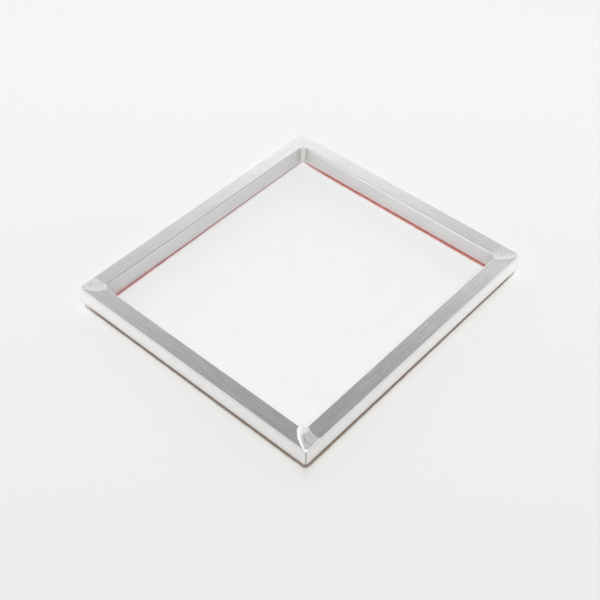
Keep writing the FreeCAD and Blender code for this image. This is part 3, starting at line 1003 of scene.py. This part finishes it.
def glue():
    """Red two-part mesh glue, glossy, thicker and darker in places; mauve to dark brown as painted shade in
    the crease at the tube's foot, and dark fading to pale as the painted contact shadow past the tube.
    """
    material, tree = new_material("mesh_glue")
    place = add(tree, "TexCoord").outputs["Object"]
    blotch = noise(tree, place, scale=160, detail=4, roughness=0.6)
    brush = noise(tree, place, scale=900, detail=2)
    # Mauve and dark brown are painted shade in the crease at the tube's foot; the darker brown-grey and the
    # pale tone are the painted contact shadow past the tube.
    mauve = mixed(tree, blotch, (0.31, 0.17, 0.18, 1), (0.45, 0.26, 0.28, 1))
    crease_shade = mixed(tree, blotch, (0.06, 0.03, 0.025, 1), (0.11, 0.05, 0.04, 1))
    thick = mixed(tree, blotch, (0.12, 0.078, 0.058, 1), (0.20, 0.14, 0.11, 1))
    film = mixed(tree, brush, (0.62, 0.59, 0.54, 1), (0.70, 0.67, 0.62, 1))

    crease_shading = mark(tree, "crease_shade")
    tone = layered(
        tree, mixed(tree, ramp(tree, blotch, 0.3, 0.7), (0.48, 0.145, 0.115, 1), (0.66, 0.23, 0.20, 1)),
        (mark(tree, "root", 0.85), (0.17, 0.035, 0.03, 1)), (mark(tree, "crest_highlight", 0.6), (0.80, 0.50, 0.44, 1)),
        (ramp(tree, crease_shading, 0, 0.7), mauve), (ramp(tree, crease_shading, 0.7, 1), crease_shade),
        (mark(tree, "rim"), mixed(tree, mark(tree, "thin"), thick, film)))
    bump = add(tree, "Bump", {"Height": brush, "Strength": 0.4, "Distance": 0.2 * MM})
    shader = add(tree, "BsdfPrincipled", {
        "Base Color": tone, "Roughness": ramp(tree, brush, 0.3, 0.7, 0.4, 0.6), "Normal": bump.outputs[0],
        "Subsurface Weight": 0.2, "Subsurface Radius": (1.0 * MM, 0.4 * MM, 0.3 * MM),
        "Subsurface Scale": 1.0,
    })
    return finished(material, shader)


def polyester():
    """White monofilament mesh, with glue soaked in near the tubes and painted shade beside the left tube."""
    material, tree = new_material("polyester_mesh")
    place = add(tree, "TexCoord").outputs["Object"]
    split = add(tree, "SeparateXYZ", {0: place})
    turns = 2 * pi / THREAD_PITCH
    warp, weft = (calc(tree, "SINE", times(tree, split.outputs[axis], turns)) for axis in "XY")
    weave = ramp(tree, larger(tree, warp, weft), -0.8, 0.6)
    cloudy = noise(tree, place, scale=25, detail=3)
    ragged = minus(tree, noise(tree, place, scale=90, detail=4), 0.5)
    soaked = ramp(tree, plus(tree, mark(tree, "past_bead"), ragged), 0.55, 1.65, 1.0, 0.0)
    tone = layered(
        tree, mixed(tree, weave, grey(0.96), grey(0.99)),
        (ramp(tree, cloudy, 0.3, 0.7, 0, 0.3), grey(0.94)), (mark(tree, "left_wall_shade", 0.7), (0.80, 0.78, 0.78, 1)),
        (times(tree, soaked, 0.75), (0.62, 0.20, 0.16, 1)))
    cloth = add(tree, "BsdfPrincipled", {
        "Base Color": tone, "Roughness": 0.55, "Specular IOR Level": 0.3, "Sheen Weight": 0.1,
    })
    through_light = add(tree, "BsdfTranslucent", {"Color": tone})
    woven = add(tree, "MixShader", {0: 0.12, 1: cloth.outputs[0], 2: through_light.outputs[0]})
    clear = add(tree, "BsdfTransparent")
    solid = plus(tree, 0.88, times(tree, soaked, 0.12))
    shader = add(tree, "MixShader", {0: solid, 1: clear.outputs[0], 2: woven.outputs[0]})
    return finished(material, shader)


def paper():
    """The pale studio floor, with painted light: lighter towards the far side, and a painted contact shadow
    close to the front and right sides.
    """
    material, tree = new_material("studio_floor_painted_light_and_shadow")
    place = add(tree, "TexCoord").outputs["Object"]
    distance = ramp(tree, dot(tree, place, AHEAD), -0.85, 0.8)
    tone = mixed(tree, distance, (0.722, 0.733, 0.730, 1), (0.87, 0.865, 0.868, 1))
    split = add(tree, "SeparateXYZ", {0: place})
    x, y = split.outputs["X"], split.outputs["Y"]
    past = larger(tree, minus(tree, x, HALF_X), minus(tree, -HALF_Y, y))
    shade = plus(tree, ramp(tree, past, 3 * MM, 16 * MM, 0.5, 0), ramp(tree, past, 3 * MM, 32 * MM, 0.3, 0))
    shade = times(tree, shade, ramp(tree, x, -HALF_X, SHADE_END - HALF_X))
    shade = times(tree, shade, ramp(tree, y, HALF_Y - SHADE_END, HALF_Y, 1, 0))
    tone = mixed(tree, shade, tone, (0.66, 0.64, 0.61, 1))
    shader = add(tree, "BsdfPrincipled", {"Base Color": tone, "Roughness": 0.9,
                                                    "Specular IOR Level": 0.1})
    return finished(material, shader)


# ---------------- stage

SHADE_END = 60 * MM  # length over which the floor's painted contact shadow fades out at the frame's ends

# Studio surround: brightness by elevation in degrees, towards the back and on the other sides
BACK_GLOW = ((0, 1.2), (30, 1.28), (36, 1.3), (39, 0.89), (42, 0.56), (45, 0.54), (50, 0.27), (56, 0.3),
             (64, 0.36))
SIDE_GLOW = ((0, 1.4), (10, 1.15), (20, 0.62), (35, 0.4), (60, 0.3))
KEY_ELEVATION, KEY_DISTANCE, KEY_SIZE, KEY_LEVEL = 70, 8.0, 6.4, 3.6


def make_floor():
    half = 40.0
    corners = [(x * half, y * half, 0) for x, y in CORNER_SIGNS.values()]
    mesh = bpy.data.meshes.new("floor")
    mesh.from_pydata(corners, [], [(0, 1, 2, 3)])
    mesh.materials.append(paper())
    put("floor", mesh)


def glow(tree, height, stops):
    """Brightness from the height of a direction, through elevation stops."""
    shade = add(tree, "ValToRGB", {0: height})
    elements = shade.color_ramp.elements
    while len(elements) < len(stops):
        elements.new(0.5)
    for element, (elevation, value) in zip(elements, stops):
        element.position = sin(radians(elevation))
        element.color = grey(value)
    return shade.outputs[0]


def make_world():
    """A studio with a bright wall behind the frame that darkens overhead and to the sides."""
    world = bpy.data.worlds.new("studio")
    bpy.context.scene.world = world
    world.use_nodes = True
    tree = world.node_tree
    tree.nodes.clear()
    direction = add(tree, "TexCoord").outputs["Generated"]
    height = add(tree, "SeparateXYZ", {0: direction}).outputs["Z"]
    level = add(tree, "VectorMath", {0: scaled(tree, direction, (1, 1, 0))}, operation="NORMALIZE")
    behind = ramp(tree, dot(tree, level.outputs[0], AHEAD), 0.15, 0.75)
    color = mixed(tree, behind, glow(tree, height, SIDE_GLOW), glow(tree, height, BACK_GLOW))
    background = add(tree, "Background", {"Color": color})
    add(tree, "OutputWorld", {"Surface": background.outputs[0]})


def towards_viewer(elevation):
    """The direction from the frame to the viewer's side, at an elevation in degrees."""
    azimuth, elevation = radians(VIEW_AZIMUTH), radians(elevation)
    return Vector((sin(azimuth) * cos(elevation), -cos(azimuth) * cos(elevation), sin(elevation)))


def make_key_light():
    """One large soft light above and behind the camera."""
    lamp = bpy.data.lights.new("key", "AREA")
    lamp.size = KEY_SIZE
    lamp.energy = KEY_LEVEL * pi * KEY_SIZE ** 2
    back = towards_viewer(KEY_ELEVATION)
    holder = put("key", lamp)
    holder.location = back * KEY_DISTANCE
    holder.rotation_euler = back.to_track_quat("Z", "Y").to_euler()


def make_camera():
    azimuth, roll = radians(VIEW_AZIMUTH), radians(VIEW_ROLL)
    level = Vector((cos(azimuth), sin(azimuth), 0))
    back = towards_viewer(VIEW_ELEVATION)
    rise = back.cross(level)
    right = level * cos(roll) + rise * sin(roll)
    up = rise * cos(roll) - level * sin(roll)
    place = back * VIEW_DISTANCE - right * VIEW_OFFSET[0] - up * VIEW_OFFSET[1]
    camera = put("camera", bpy.data.cameras.new("camera"))
    camera.data.lens = LENS
    camera.matrix_world = Matrix.Translation(place) @ Matrix((right, up, back)).transposed().to_4x4()
    bpy.context.scene.camera = camera


def main():
    metal = aluminium("tube_aluminium")
    weld_metal = aluminium("weld_aluminium")
    red = glue()
    for side in SIDES:
        make_rail(side, metal)
        make_bead(side, red)
        make_coat(side, red)
    runs = {
        "top": range(OUTER_TOP[0], INNER_TOP[1] + 1),
        "under": range(INNER_BOTTOM[0], OUTER_BOTTOM[1] + 1),
        "outer": [*range(OUTER_BOTTOM[1], RING_COUNT), 0],
    }
    for corner in CORNERS:
        for place, indices in runs.items():
            make_weld(corner, place, indices, weld_metal)
        make_fillet(corner, weld_metal)
    make_mesh(polyester())
    make_floor()
    make_world()
    make_key_light()
    make_camera()
    bpy.context.scene.view_settings.view_transform = "Standard"


main()
